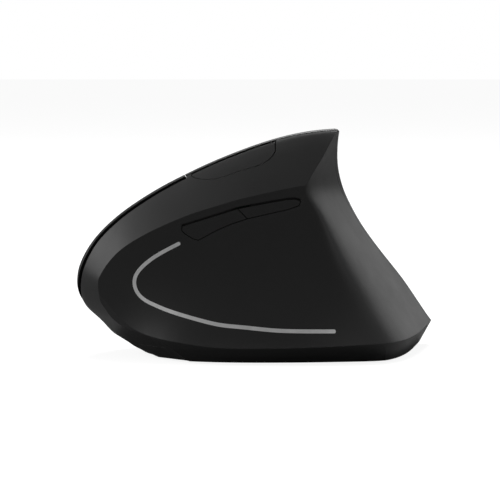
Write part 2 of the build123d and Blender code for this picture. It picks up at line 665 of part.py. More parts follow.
def ahead_of_keys(shift):
    """Space ahead of the rear seam of the main buttons, shifted along x."""
    points = [(x + shift, -SIDE_REACH, z) for x, z in side_outline(REAR_SEAM_SHARES)]
    ends = (-SIDE_REACH, -SIDE_REACH, points[-1][2]), (-SIDE_REACH, -SIDE_REACH, points[0][2])
    return side_prism(Face(closed_section(points, ends)), 2 * SIDE_REACH)


def above_split(shift):
    """Space above the seam between the two main buttons, in the wheel's middle plane."""
    return FINGER * Pos(0, shift, 0) * Box(2 * SIDE_REACH, SIDE_REACH, 2 * SIDE_REACH,
                                           align=(Align.CENTER, Align.MIN, Align.CENTER))


def tip_corner():
    """Corner taken off the rear end of the crest to leave it round."""
    rear = curve(REAR_X, HEIGHT)
    x, z = rear - TIP_R, curve(CREST_Z, rear) - TIP_R
    corner = corner_box((x, -SIDE_REACH, z), (x + SIDE_REACH, SIDE_REACH, z + SIDE_REACH))
    return corner - rod(TIP_R, (x, -SIDE_REACH, z), (0, 1, 0), 2 * SIDE_REACH)


def above_parting():
    """Space above the seam between shells and base."""
    place = Pos(0, 0, PARTING_Z) * Rot(0, -PARTING_TILT, 0)
    return place * Box(2 * SIDE_REACH, 2 * SIDE_REACH, SIDE_REACH,
                       align=(Align.CENTER, Align.CENTER, Align.MIN))


def biggest(shape):
    """Largest solid of a shape, without the slivers of a cut."""
    return max(shape.solids(), key=lambda solid: solid.volume)


def finger_plane():
    """Plane on the finger face over the wheel."""
    slope_x = (far_y(WHEEL_X + PROBE, WHEEL_Z) - far_y(WHEEL_X - PROBE, WHEEL_Z)) / (2 * PROBE)
    slope_z = (far_y(WHEEL_X, WHEEL_Z + PROBE) - far_y(WHEEL_X, WHEEL_Z - PROBE)) / (2 * PROBE)
    out = Vector(-slope_x, 1, -slope_z).normalized()
    ahead = Vector(-1, 0, -FINGER_LEAN)
    ahead = (ahead - out * ahead.dot(out)).normalized()
    return Plane(origin=(WHEEL_X, far_y(WHEEL_X, WHEEL_Z), WHEEL_Z), x_dir=ahead, z_dir=out)


FINGER = finger_plane()
UP_W = (0, 0, 1)
ALONG_V = (0, 1, 0)


def slab(u, v, w, thick, size_u, size_v):
    """Upright block in the finger plane, standing on depth w and centred on u, v."""
    low = (u - size_u / 2, v - size_v / 2, w)
    return corner_box(low, (u + size_u / 2, v + size_v / 2, w + thick))


def stadium(length, width, low, high):
    """Round-ended block in the finger plane."""
    reach = (length - width) / 2
    body = slab(0, 0, low, high - low, 2 * reach, width)
    for u in (-reach, reach):
        body += rod(width / 2, (u, 0, low), UP_W, high - low)
    return body


def wheel_tyre():
    """Rubber tyre with cross ribs."""
    body = (rod(WHEEL_R, (0, -WHEEL_T / 2, -WHEEL_DEPTH), ALONG_V, WHEEL_T)
            - rod(WHEEL_R - TYRE_T, (0, -WHEEL_T / 2, -WHEEL_DEPTH), ALONG_V, WHEEL_T))
    body = fillet(body.edges().filter_by(GeomType.CIRCLE).sort_by(lambda e: e.radius)[-2:], TYRE_T / 2)
    for i in range(TYRE_LUGS):
        turn = 2 * pi * i / TYRE_LUGS
        place = (WHEEL_R * sin(turn), -WHEEL_T / 2, WHEEL_R * cos(turn) - WHEEL_DEPTH)
        body -= rod(TYRE_LUG_R, place, ALONG_V, WHEEL_T)
    return FINGER * body


def wheel_hub():
    """Hub with a rim, a drilled web and a boss on the axle."""
    def ring(radius, thick):
        return rod(radius, (0, -thick / 2, -WHEEL_DEPTH), ALONG_V, thick)

    rim_r = WHEEL_R - TYRE_T
    body = ring(rim_r, WHEEL_T - 2 * RIM_INSET) - ring(rim_r - RIM_T, WHEEL_T)
    body += ring(rim_r - RIM_T / 2, WEB_T) + ring(HUB_R, WHEEL_T)
    middle = (HUB_R + rim_r - RIM_T) / 2
    for i in range(SPOKE_HOLES):
        turn = 2 * pi * i / SPOKE_HOLES
        place = (middle * sin(turn), -WEB_T, middle * cos(turn) - WHEEL_DEPTH)
        body -= rod(SPOKE_HOLE_R, place, ALONG_V, 2 * WEB_T)
    return FINGER * (body - ring(AXLE_R, 2 * WHEEL_T))


def wheel_axle():
    """Steel axle from the cheek on one side through the encoder on the other."""
    start = -CHEEK_V - CHEEK_T
    end = CHEEK_V + CHEEK_T + ENCODER_T
    return FINGER * rod(AXLE_R, (0, start, -WHEEL_DEPTH), ALONG_V, end - start)


def cradle_body():
    """Open box around the wheel with two guide lugs and the tab for the wheel click."""
    height = CRADLE_TOP_W - CRADLE_LOW_W
    parts = []
    for side in (-1, 1):
        parts.append(slab(0, side * (CHEEK_V + CHEEK_T / 2), CRADLE_LOW_W, height,
                          2 * CRADLE_HALF_L, CHEEK_T))
        parts.append(slab(side * (CRADLE_HALF_L - CRADLE_BAR_T / 2), 0, CRADLE_LOW_W,
                          LUG_TOP_W - CRADLE_LOW_W, CRADLE_BAR_T, 2 * (CHEEK_V + CHEEK_T)))
        parts.append(slab(side * (CRADLE_HALF_L + LUG_L / 2), 0, CRADLE_LOW_W,
                          LUG_TOP_W - CRADLE_LOW_W, LUG_L, 2 * LUG_HALF_W))
    tab_width = -CLICK_TAB_V - CHEEK_V
    parts.append(slab(0, CLICK_TAB_V + tab_width / 2, CLICK_TAB_LOW_W,
                      CLICK_TAB_TOP_W - CLICK_TAB_LOW_W, 2 * CLICK_TAB_HALF_L, tab_width))
    body = parts[0]
    for part in parts[1:]:
        body += part
    body -= rod(AXLE_R + PIN_GAP, (0, -WHEEL_R, -WHEEL_DEPTH), ALONG_V, 2 * WHEEL_R)
    for side in (-1, 1):
        body -= rod(GUIDE_R + PIN_GAP, (side * guide_u(), 0, -WHEEL_R - WHEEL_DEPTH), UP_W, WHEEL_R)
    return body


def guide_u():
    """Place of the guide pins of the cradle."""
    return CRADLE_HALF_L + LUG_L / 2


def encoder():
    """Scroll encoder fixed to the cheek of the cradle."""
    v = CHEEK_V + CHEEK_T + ENCODER_T / 2
    body = slab(0, v, ENCODER_LOW_W, ENCODER_TOP_W - ENCODER_LOW_W, ENCODER_L, ENCODER_T)
    return FINGER * (body - rod(AXLE_R + PIN_GAP, (0, 0, -WHEEL_DEPTH), ALONG_V, WHEEL_R))


def board_outline(edge):
    """Outline of the finger side board in u and v, grown by edge."""
    return [(BOARD_NOSE + edge, BOARD_TOP + edge), (BOARD_NOSE + edge, BOARD_LOW_NOSE - edge),
            (BOARD_BEND, BOARD_LOW - edge), (BOARD_REAR - edge, BOARD_LOW - edge),
            (BOARD_REAR - edge, BOARD_TOP + edge)]


def sheet_of(outline, low, thick):
    """Flat sheet in the finger plane."""
    face = Face(Wire.make_polygon([Vector(u, v, low) for u, v in outline], close=True))
    return extrude(face, amount=thick, dir=UP_W)


def finger_board():
    """Board of the finger side with the window for the wheel."""
    body = sheet_of(board_outline(0), BOARD_W - BOARD_T, BOARD_T)
    body -= stadium(WHEEL_WINDOW_L, WHEEL_WINDOW_W, BOARD_W - 2 * BOARD_T, BOARD_W + BOARD_T)
    body -= rod(GUIDE_HOLE_R, (-guide_u(), 0, BOARD_W - 2 * BOARD_T), UP_W, 2 * BOARD_T + BOARD_T)
    for u, v in FRAME_POSTS:
        body -= rod(SCREW_R, (u, v, BOARD_W - 2 * BOARD_T), UP_W, 2 * BOARD_T + BOARD_T)
    return FINGER * body


def finger_frame():
    """Chassis plate under the board with guide pins and hinge lugs."""
    low = BOARD_W - BOARD_T - FRAME_T
    body = sheet_of(board_outline(0), low, FRAME_T)
    body += slab((BOARD_REAR + HINGE_U - HINGE_EYE_R) / 2, 0, low, FRAME_T,
                 BOARD_REAR - HINGE_U + HINGE_EYE_R + FRAME_EDGE, BOARD_TOP - BOARD_LOW)
    body += slab((BOARD_NOSE + TONGUE_END - FRAME_EDGE) / 2, 0, low, FRAME_T,
                 TONGUE_END - BOARD_NOSE + FRAME_EDGE, 2 * TONGUE_HALF_W)
    body -= stadium(WHEEL_WINDOW_L, WHEEL_WINDOW_W, low - FRAME_T, low + 2 * FRAME_T)
    for side in (-1, 1):
        body += rod(GUIDE_R, (side * guide_u(), 0, low), UP_W, GUIDE_TOP_W - low)
        for v in hinge_lugs():
            web = corner_box((HINGE_U - HINGE_EYE_R, v, low),
                             (HINGE_U + HINGE_EYE_R, v + HINGE_LUG_T, HINGE_W))
            body += web if side > 0 else Pos(0, -2 * v - HINGE_LUG_T, 0) * web
            eye = rod(HINGE_EYE_R, (HINGE_U, v, HINGE_W), ALONG_V, HINGE_LUG_T)
            body += eye if side > 0 else Pos(0, -2 * v - HINGE_LUG_T, 0) * eye
    body -= rod(HINGE_PIN_R, (HINGE_U, BOARD_LOW, HINGE_W), ALONG_V, BOARD_TOP - BOARD_LOW)
    for u, v in FRAME_POSTS:
        body -= rod(SCREW_R, (u, v, low - FRAME_T), UP_W, 2 * FRAME_T + FRAME_T)
    return FINGER * body


def hinge_lugs():
    """Places along v of the two lugs beside one hinge eye."""
    return (HINGE_EYE_V - HINGE_SIDE - HINGE_LUG_T, HINGE_EYE_V + HINGE_EYE_L + HINGE_SIDE)


def hinge_pin():
    """Steel pin that both main buttons turn on."""
    half = HINGE_EYE_V + HINGE_EYE_L + HINGE_SIDE + HINGE_LUG_T
    return FINGER * rod(HINGE_PIN_R, (HINGE_U, -half, HINGE_W), ALONG_V, 2 * half)


def key_fittings(side):
    """Hinge arm and plunger of a main button."""
    low_v = side * (HINGE_EYE_V + HINGE_EYE_L / 2) - HINGE_EYE_L / 2
    arm = corner_box((HINGE_U - HINGE_EYE_R, low_v, HINGE_W),
                     (HINGE_U + HINGE_EYE_R, low_v + HINGE_EYE_L, 0))
    arm += rod(HINGE_EYE_R, (HINGE_U, low_v, HINGE_W), ALONG_V, HINGE_EYE_L)
    tip = BOARD_W + SWITCH_H + SWITCH_KNOB_H + KEY_FREE
    post = rod(KEY_POST_R, (KNOB_U, side * SWITCH_V, tip), UP_W, -tip)
    return FINGER * arm, FINGER * post


def key_bore():
    """Bore for the hinge pin in the eyes of the main buttons."""
    return FINGER * rod(HINGE_PIN_R + PIN_GAP, (HINGE_U, BOARD_LOW, HINGE_W), ALONG_V,
                        BOARD_TOP - BOARD_LOW)


def main_key(plate, side):
    """Main button: skin plate, hinge arm, plunger and half of the wheel slot."""
    inside = far_solid(KEY_ROOT)
    arm, post = key_fittings(side)
    slot = FINGER * Pos(SLOT_SHIFT, 0, 0) * stadium(SLOT_L, SLOT_W, -WHEEL_R, WHEEL_R)
    return biggest(plate - slot + (arm & inside) + (post & inside) - key_bore())


def micro_switch(side):
    """Micro switch under one main button."""
    v = side * SWITCH_V
    body = slab(SWITCH_U, v, BOARD_W, SWITCH_H, SWITCH_L, SWITCH_T)
    knob = slab(KNOB_U, v, BOARD_W + SWITCH_H, SWITCH_KNOB_H, SWITCH_KNOB_L, SWITCH_KNOB_L)
    return FINGER * (body + knob)


def tact_switch(top):
    """Small push switch with its knob, standing on the origin."""
    body = Box(TACT_L, TACT_L, TACT_BODY_T, align=(Align.CENTER, Align.CENTER, Align.MIN))
    return body + rod(TACT_KNOB_R, (0, 0, 0), UP_W, top)


def middle_switch():
    """Push switch under the tab of the wheel cradle."""
    top = CLICK_TAB_LOW_W - CLICK_TRAVEL - BOARD_W
    return FINGER * Pos(0, CLICK_SWITCH_V, BOARD_W) * tact_switch(top)


def coil(radius, wire, low, high, turns):
    """Small compression spring standing between two levels."""
    path = Edge.make_helix((high - low - 2 * wire) / turns, high - low - 2 * wire, radius)
    profile = Plane(origin=path @ 0, z_dir=path % 0) * Circle(wire)
    return Pos(0, 0, low + wire) * sweep(profile, path=Wire([path]), is_frenet=True)


def cell_places():
    """Front ends of the two cells: start points of their axes."""
    return [(CELL_FRONT, y, CELL_Z) for y in CELL_YS]


ALONG_X = (1, 0, 0)


def cell(place):
    """Battery cell with its raised tip at the rear."""
    x, y, z = place
    body = rod(CELL_R, place, ALONG_X, CELL_L - CELL_TIP_L)
    return body + rod(CELL_TIP_R, (x, y, z), ALONG_X, CELL_L)


def bay_front():
    """Front wall of the battery bay along x."""
    return CELL_FRONT - BAY_END_GAP


def bay_rear():
    """Rear wall of the battery bay along x."""
    return CELL_FRONT + CELL_L + CONTACT_T


def bay_sides():
    """Inner faces of the battery bay along y."""
    return CELL_YS[0] - CELL_R, CELL_YS[1] + CELL_R


def door_low():
    """Low corner of the battery door, seen from above."""
    return bay_front() - DOOR_LIP, bay_sides()[0] - DOOR_LIP


def door_high():
    """High corner of the battery door, seen from above."""
    return bay_rear() + DOOR_LIP, bay_sides()[1] + DOOR_LIP


def battery_bay():
    """Block around the cells: saddles above, opening below."""
    low_y, high_y = bay_sides()
    return corner_box((bay_front() - BAY_WALL, low_y - BAY_WALL, FOOT_T),
                      (bay_rear() + BAY_WALL, high_y + BAY_WALL, BAY_TOP))


def bay_room():
    """Room inside the battery bay."""
    low_y, high_y = bay_sides()
    room = corner_box((bay_front(), low_y, FOOT_T - WALL), (bay_rear(), high_y, CELL_Z))
    for x, y, z in cell_places():
        room += rod(CELL_R, (bay_front(), y, z), ALONG_X, bay_rear() - bay_front())
    return room


def receiver_room():
    """Pocket for the receiver, open at the bottom."""
    half_l = RECEIVER_CAP_L / 2 + RECEIVER_GAP
    half_w = RECEIVER_CAP_W / 2 + RECEIVER_GAP
    top = RECEIVER_LOW + RECEIVER_CAP_H + RECEIVER_GAP
    room = corner_box((RECEIVER_X - half_l, RECEIVER_Y - half_w, FOOT_T - WALL),
                      (RECEIVER_X + half_l, RECEIVER_Y + half_w, top))
    half_l = RECEIVER_PLUG_L / 2 + RECEIVER_GAP
    half_w = RECEIVER_PLUG_W / 2 + RECEIVER_GAP
    return room + corner_box((RECEIVER_X - half_l, RECEIVER_Y - half_w, FLOOR_Z),
                             (RECEIVER_X + half_l, RECEIVER_Y + half_w,
                              RECEIVER_LOW + RECEIVER_CAP_H + RECEIVER_PLUG_H + RECEIVER_GAP))


def receiver_block():
    """Walls of the receiver pocket."""
    half_l = RECEIVER_CAP_L / 2 + RECEIVER_GAP + POCKET_WALL
    half_w = RECEIVER_CAP_W / 2 + RECEIVER_GAP + POCKET_WALL
    low = corner_box((RECEIVER_X - half_l, RECEIVER_Y - half_w, FOOT_T),
                     (RECEIVER_X + half_l, RECEIVER_Y + half_w,
                      RECEIVER_LOW + RECEIVER_CAP_H + RECEIVER_GAP + POCKET_WALL))
    half_l = RECEIVER_PLUG_L / 2 + RECEIVER_GAP + POCKET_WALL
    half_w = RECEIVER_PLUG_W / 2 + RECEIVER_GAP + POCKET_WALL
    return low + corner_box((RECEIVER_X - half_l, RECEIVER_Y - half_w, FOOT_T),
                            (RECEIVER_X + half_l, RECEIVER_Y + half_w,
                             RECEIVER_LOW + RECEIVER_CAP_H + RECEIVER_PLUG_H + RECEIVER_GAP
                             + POCKET_WALL))


def receiver_cap():
    """Plastic cap of the receiver."""
    body = corner_box((RECEIVER_X - RECEIVER_CAP_L / 2, RECEIVER_Y - RECEIVER_CAP_W / 2, RECEIVER_LOW),
                      (RECEIVER_X + RECEIVER_CAP_L / 2, RECEIVER_Y + RECEIVER_CAP_W / 2,
                       RECEIVER_LOW + RECEIVER_CAP_H))
    body = fillet(body.edges().filter_by(Axis.Z), RECEIVER_CAP_W / 4)
    grip = RECEIVER_LOW + RECEIVER_CAP_H / 4
    for side in (-1, 1):
        body -= rod(DOOR_GRIP_R, (RECEIVER_X - RECEIVER_CAP_L, RECEIVER_Y + side * RECEIVER_CAP_W / 2,
                                  grip), ALONG_X, 2 * RECEIVER_CAP_L)
    return body


def receiver_plug():
    """Metal shell of the receiver plug with its contact tongue."""
    low = RECEIVER_LOW + RECEIVER_CAP_H
    half_l, half_w = RECEIVER_PLUG_L / 2, RECEIVER_PLUG_W / 2
    shell = corner_box((RECEIVER_X - half_l, RECEIVER_Y - half_w, low),
                       (RECEIVER_X + half_l, RECEIVER_Y + half_w, low + RECEIVER_PLUG_H))
    inner_l, inner_w = half_l - RECEIVER_PLUG_T, half_w - RECEIVER_PLUG_T
    shell -= corner_box((RECEIVER_X - inner_l, RECEIVER_Y - inner_w, low + RECEIVER_PLUG_T),
                        (RECEIVER_X + inner_l, RECEIVER_Y + inner_w, low + 2 * RECEIVER_PLUG_H))
    tongue = corner_box((RECEIVER_X - inner_l, RECEIVER_Y - inner_w, low + RECEIVER_PLUG_T),
                        (RECEIVER_X + inner_l, RECEIVER_Y, low + RECEIVER_PLUG_H - RECEIVER_PLUG_T))
    return shell + tongue


def base_shell(shell):
    """Base with floor, battery bay, receiver pocket, board posts and screw bosses."""
    body = shell - corner_box((*MAIN_BOARD_LOW, FLOOR_Z), (*MAIN_BOARD_HIGH, 2 * MAIN_BOARD_Z))
    body = body + battery_bay() + receiver_block()
    for x, y in MAIN_POSTS:
        body += rod(MAIN_POST_R, (x, y, FOOT_T + WALL / 2), UP_W, MAIN_BOARD_Z - FOOT_T - WALL / 2)
    for x, y, _ in BASE_SCREWS:
        boss = rod(BASE_BOSS_R, (x, y, FOOT_T), UP_W, BOSS_RUN) - UPPER
        body += boss & BODY
    body -= bay_room()
    body -= receiver_room()
    low_x, low_y = door_low()
    high_x, high_y = door_high()
    body -= corner_box((low_x - DOOR_T / 2 - DOOR_GAP, low_y - DOOR_GAP, FOOT_T - WALL),
                       (high_x + DOOR_GAP, high_y + DOOR_GAP, FOOT_T + DOOR_T + DOOR_GAP / 2))
    body -= door_hinge(DOOR_PIN_R + PIN_GAP, DOOR_PIN_L + PIN_GAP)
    for x, y, _ in BASE_SCREWS:
        body -= rod(BASE_SHANK_R, (x, y, FOOT_T - WALL), UP_W, BOSS_RUN)
        body -= rod(BASE_HEAD_R, (x, y, FOOT_T - WALL), UP_W, BASE_HEAD_Z + BASE_HEAD_T - FOOT_T + WALL)
    body -= rod(WINDOW_R, (SENSOR_X, SENSOR_Y, FOOT_T - WALL), UP_W, WALL + WALL)
    body -= corner_box((SLIDER_X - SLIDER_L / 2 - SLIDER_GAP,
                        SLIDER_Y - SLIDER_W / 2 - SLIDER_GAP - SLIDER_TRAVEL, FOOT_T - WALL),
                       (SLIDER_X + SLIDER_L / 2 + SLIDER_GAP,
                        SLIDER_Y + SLIDER_W / 2 + SLIDER_GAP, FLOOR_Z + WALL))
    for x, y in MAIN_POSTS:
        body -= rod(SCREW_R, (x, y, FLOOR_Z), UP_W, MAIN_BOARD_Z)
    return biggest(body)


def base_screws():
    """Five screws that hold the base to the shells."""
    parts = []
    for x, y, _ in BASE_SCREWS:
        head = rod(BASE_HEAD_R, (x, y, BASE_HEAD_Z), UP_W, BASE_HEAD_T)
        head -= Pos(x, y, BASE_HEAD_Z) * Box(BASE_HEAD_R, BASE_SHANK_R / 2, BASE_HEAD_T)
        head -= Pos(x, y, BASE_HEAD_Z) * Box(BASE_SHANK_R / 2, BASE_HEAD_R, BASE_HEAD_T)
        parts.append(head + rod(BASE_SHANK_R, (x, y, BASE_HEAD_Z + BASE_HEAD_T), UP_W,
                                BASE_SCREW_TOP - BASE_HEAD_Z - BASE_HEAD_T))
    return Compound(parts)


def door_hinge(radius, reach):
    """Bar along the hinge of the battery door, longer than the door by reach at both ends."""
    low_y, high_y = door_low()[1] - reach, door_high()[1] + reach
    return rod(radius, (door_low()[0], low_y, FOOT_T + DOOR_T / 2), ALONG_V, high_y - low_y)


def battery_door():
    """Door over the cells with a round hinge edge, two pins and a ribbed grip."""
    body = corner_box((*door_low(), FOOT_T), (*door_high(), FOOT_T + DOOR_T))
    body += door_hinge(DOOR_T / 2, 0) + door_hinge(DOOR_PIN_R, DOOR_PIN_L)
    middle = (door_low()[1] + door_high()[1]) / 2
    for i in range(DOOR_GRIPS):
        x = door_high()[0] - (i + 2) * DOOR_GRIP_PITCH
        body -= rod(DOOR_GRIP_R, (x, middle - CELL_R, FOOT_T), ALONG_V, 2 * CELL_R)
    return body


def battery_contacts(front):
    """Contact plates at one end of the bay, with springs at the front end."""
    parts = []
    for x, y, z in cell_places():
        if front:
            start = bay_front()
            parts.append(rod(CONTACT_R, (start, y, z), ALONG_X, CONTACT_T / 2))
            place = Plane(origin=(start + CONTACT_T / 2, y, z), z_dir=ALONG_X)
            parts.append(place * coil(CONTACT_SPRING_R, SPRING_WIRE_R, 0, BAY_END_GAP - CONTACT_T / 2,
                                      CONTACT_TURNS))
        else:
            parts.append(rod(CONTACT_R, (bay_rear() - CONTACT_T, y, z), ALONG_X, CONTACT_T))
    return Compound(parts)


def main_board():
    """Main board with holes for its posts and the lens."""
    body = corner_box((*MAIN_BOARD_LOW, MAIN_BOARD_Z),
                      (*MAIN_BOARD_HIGH, MAIN_BOARD_Z + MAIN_BOARD_T))
    body -= rod(SENSOR_HOLE_R, (SENSOR_X, SENSOR_Y, 0), UP_W, 2 * MAIN_BOARD_Z)
    for x, y in MAIN_POSTS:
        body -= rod(SCREW_R, (x, y, 0), UP_W, 2 * MAIN_BOARD_Z)
    return body


def sensor_lens():
    """Clear lens between the main board and the window in the base."""
    plate = corner_box((SENSOR_X - LENS_L / 2, SENSOR_Y - LENS_W / 2, FLOOR_Z),
                       (SENSOR_X + LENS_L / 2, SENSOR_Y + LENS_W / 2, MAIN_BOARD_Z))
    return plate + rod(LENS_NOSE_R, (SENSOR_X, SENSOR_Y, LENS_LOW), UP_W, FLOOR_Z - LENS_LOW)


def sensor_chip():
    """Optical sensor on the main board, reaching through its hole."""
    top = MAIN_BOARD_Z + MAIN_BOARD_T
    body = corner_box((SENSOR_X - SENSOR_L / 2, SENSOR_Y - SENSOR_W / 2, top),
                      (SENSOR_X + SENSOR_L / 2, SENSOR_Y + SENSOR_W / 2, top + SENSOR_T))
    return body + rod(SENSOR_HOLE_R, (SENSOR_X, SENSOR_Y, MAIN_BOARD_Z), UP_W, MAIN_BOARD_T)


def board_chips():
    """Two chips on the main board."""
    top = MAIN_BOARD_Z + MAIN_BOARD_T
    return Compound([corner_box((x - CHIP_L / 2, y - CHIP_L / 2, top),
                                (x + CHIP_L / 2, y + CHIP_L / 2, top + CHIP_T))
                     for x, y in CHIP_PLACES])


def board_screws():
    """Screws of the main board."""
    top = MAIN_BOARD_Z + MAIN_BOARD_T
    parts = []
    for x, y in MAIN_POSTS:
        parts.append(rod(SCREW_HEAD_R, (x, y, top), UP_W, SCREW_HEAD_T)
                     + rod(SCREW_R, (x, y, FLOOR_Z), UP_W, top - FLOOR_Z))
    return Compound(parts)


def power_body():
    """Power switch under the main board."""
    y = SLIDER_Y - SLIDER_TRAVEL / 2
    low = MAIN_BOARD_Z - POWER_BODY_T
    return corner_box((SLIDER_X - POWER_BODY_W / 2, y - POWER_BODY_L / 2, low),
                      (SLIDER_X + POWER_BODY_W / 2, y + POWER_BODY_L / 2, MAIN_BOARD_Z))


def power_slider():
    """Slider knob in the slot of the base."""
    top = MAIN_BOARD_Z - POWER_BODY_T - SLIDER_GAP
    body = corner_box((SLIDER_X - SLIDER_L / 2, SLIDER_Y - SLIDER_W / 2, SLIDER_LOW),
                      (SLIDER_X + SLIDER_L / 2, SLIDER_Y + SLIDER_W / 2, top))
    low = FLOOR_Z + SLIDER_GAP / 2
    body += corner_box((SLIDER_X - SLIDER_L / 2 - SLIDER_FLANGE, SLIDER_Y - SLIDER_W / 2, low),
                       (SLIDER_X + SLIDER_L / 2 + SLIDER_FLANGE, SLIDER_Y + SLIDER_W / 2, top))
    for i in (-1, 0, 1):
        body -= rod(SLIDER_GAP, (SLIDER_X - SLIDER_L, SLIDER_Y + i * SLIDER_W / 4, SLIDER_LOW),
                    ALONG_X, 2 * SLIDER_L)
    return body


def foot(ends_and_width):
    """Round-ended glide pad under the base."""
    (x0, y0), (x1, y1), width = ends_and_width
    low, high = Vector(x0, y0, 0), Vector(x1, y1, 0)
    along = (high - low).normalized()
    place = Plane(origin=(low + high) * 0.5, x_dir=along, z_dir=(0, 0, 1))
    reach = (high - low).length
    body = place * Box(reach, width, FOOT_T, align=(Align.CENTER, Align.CENTER, Align.MIN))
    for end in (low, high):
        body += rod(width / 2, end, UP_W, FOOT_T)
    return body


def ring_foot():
    """Glide ring around the sensor window."""
    return (rod(RING_FOOT_R, (SENSOR_X, SENSOR_Y, 0), UP_W, FOOT_T)
            - rod(RING_FOOT_HOLE_R, (SENSOR_X, SENSOR_Y, 0), UP_W, FOOT_T))


def shell_posts():
    """Posts inside the thumb shell: for base screws, chassis, rib and thumb board."""
    posts = []
    for x, y, top in BASE_SCREWS[:-1]:
        posts.append(rod(BASE_BOSS_R, (x, y, 0), UP_W, top) & UPPER)
    x, y, top = BASE_SCREWS[0]
    posts.append(corner_box((NOSE_RIB_X, y - NOSE_RIB_T / 2, 0), (x, y + NOSE_RIB_T / 2, top)) & UPPER)
    low = BOARD_W - BOARD_T - FRAME_T
    for u, v in FRAME_POSTS:
        posts.append(FINGER * rod(POST_R, (u, v, low - POST_REACH), UP_W, POST_REACH))
    behind = FINGER * Pos(0, 0, low - SIDE_REACH) * Box(
        2 * SIDE_REACH, 2 * SIDE_REACH, SIDE_REACH, align=(Align.CENTER, Align.CENTER, Align.MIN))
    rib = corner_box((RIB_X, -SIDE_REACH, RIB_LOW_Z), (RIB_X + RIB_T, SIDE_REACH, RIB_TOP_Z))
    posts.append(rib & behind)
    for x, z in THUMB_POSTS:
        posts.append(rod(POST_R, (x, THUMB_BOARD_Y - POST_REACH, z), ALONG_V, POST_REACH))
    return posts


def post_bores():
    """Bores for the screws in the posts of the thumb shell."""
    low = BOARD_W - BOARD_T - FRAME_T
    bores = [rod(BASE_SHANK_R, (x, y, 0), UP_W, BASE_SCREW_TOP) for x, y, _ in BASE_SCREWS]
    bores += [FINGER * rod(SCREW_R, (u, v, low - SCREW_BITE), UP_W, SCREW_BITE)
              for u, v in FRAME_POSTS]
    bores += [rod(SCREW_R, (x, THUMB_BOARD_Y - SCREW_BITE / 2, z), ALONG_V, SCREW_BITE / 2)
              for x, z in THUMB_POSTS]
    return bores


def frame_screws():
    """Screws of the finger side chassis."""
    low = BOARD_W - BOARD_T - FRAME_T - SCREW_BITE
    parts = []
    for u, v in FRAME_POSTS:
        parts.append(FINGER * (rod(SCREW_HEAD_R, (u, v, BOARD_W), UP_W, SCREW_HEAD_T)
                               + rod(SCREW_R, (u, v, low), UP_W, BOARD_W - low)))
    return Compound(parts)


def thumb_board():
    """Board behind the thumb buttons."""
    x0, z0 = THUMB_BOARD_LOW
    x1, z1 = THUMB_BOARD_HIGH
    body = corner_box((x0, THUMB_BOARD_Y, z0), (x1, THUMB_BOARD_Y + THUMB_BOARD_T, z1))
    for x, z in THUMB_POSTS:
        body -= rod(SCREW_R, (x, THUMB_BOARD_Y, z), ALONG_V, THUMB_BOARD_T)
    return body


def thumb_screws():
    """Screws of the thumb board."""
    back = THUMB_BOARD_Y + THUMB_BOARD_T
    parts = []
    for x, z in THUMB_POSTS:
        parts.append(rod(SCREW_HEAD_R, (x, back, z), ALONG_V, SCREW_HEAD_T)
                     + rod(SCREW_R, (x, THUMB_BOARD_Y - SCREW_BITE / 2, z), ALONG_V,
                           SCREW_BITE / 2 + THUMB_BOARD_T))
    return Compound(parts)


def thumb_switches():
    """Push switches behind the two thumb buttons."""
    top = THUMB_BOARD_Y - STEM_END_Y - THUMB_TRAVEL
    parts = []
    for x, z in THUMB_STEMS:
        body = tact_switch(top)
        parts.append(Plane(origin=(x, THUMB_BOARD_Y, z), z_dir=(0, -1, 0)) * body)
    return Compound(parts)


def grown(face, amount):
    """Flat face with its edge moved out by amount."""
    return offset(face, amount, kind=Kind.INTERSECTION)


def button_face(shares):
    """Side view face of a thumb button."""
    return side_face(side_outline(shares), -SIDE_REACH)


def thumb_button(shares, stem, limits):
    """Thumb button: skin, holding flange behind the shell and stem to the switch."""
    face = button_face(shares)
    front = WALL + FLANGE_GAP
    skin = side_prism(grown(face, -BUTTON_GAP), 2 * SIDE_REACH) & near_solid()
    skin = biggest(skin - near_solid(front + FLANGE_T))
    x0, x1 = limits
    flange = side_prism(grown(face, FLANGE_EDGE), 2 * SIDE_REACH) & corner_box(
        (x0, -SIDE_REACH, 0), (x1, SIDE_REACH, HEIGHT))
    flange = biggest((flange & near_solid(front)) - near_solid(front + FLANGE_T))
    x, z = stem
    root = thumb_y(x, z) + front
    return biggest(skin + flange + rod(STEM_R, (x, root, z), ALONG_V, STEM_END_Y - root))


def thumb_hole():
    """Opening of the thumb shell for both buttons, wider along the top."""
    hole = None
    for shares in (FORWARD_OUTLINE_SHARES, BACK_OUTLINE_SHARES):
        prism = side_prism(grown(button_face(shares), BUTTON_GAP), SIDE_REACH + THUMB_BOARD_Y)
        prism = prism + Pos(0, 0, TOP_GAP) * prism
        hole = prism if hole is None else hole + prism
    return hole


def strip_slot():
    """Slot of the bright line on the thumb side."""
    middle = side_outline(STRIP_SHARES)
    half = STRIP_W / 2
    left, right = [], []
    for i, (x, z) in enumerate(middle):
        into_x, into_z = inward(middle, i)
        left.append(Vector(x + half * into_x, -SIDE_REACH, z + half * into_z))
        right.append(Vector(x - half * into_x, -SIDE_REACH, z - half * into_z))
    caps = []
    for i, j in ((-1, -2), (0, 1)):
        (x, z), (before_x, before_z) = middle[i], middle[j]
        size = hypot(x - before_x, z - before_z)
        caps.append(Vector(x + half * (x - before_x) / size, -SIDE_REACH,
                           z + half * (z - before_z) / size))
    edges = [Edge.make_spline(left), Edge.make_three_point_arc(left[-1], caps[0], right[-1]),
             Edge.make_spline(right[::-1]), Edge.make_three_point_arc(right[0], caps[1], left[0])]
    return side_prism(Face(Wire(edges)), 2 * SIDE_REACH)


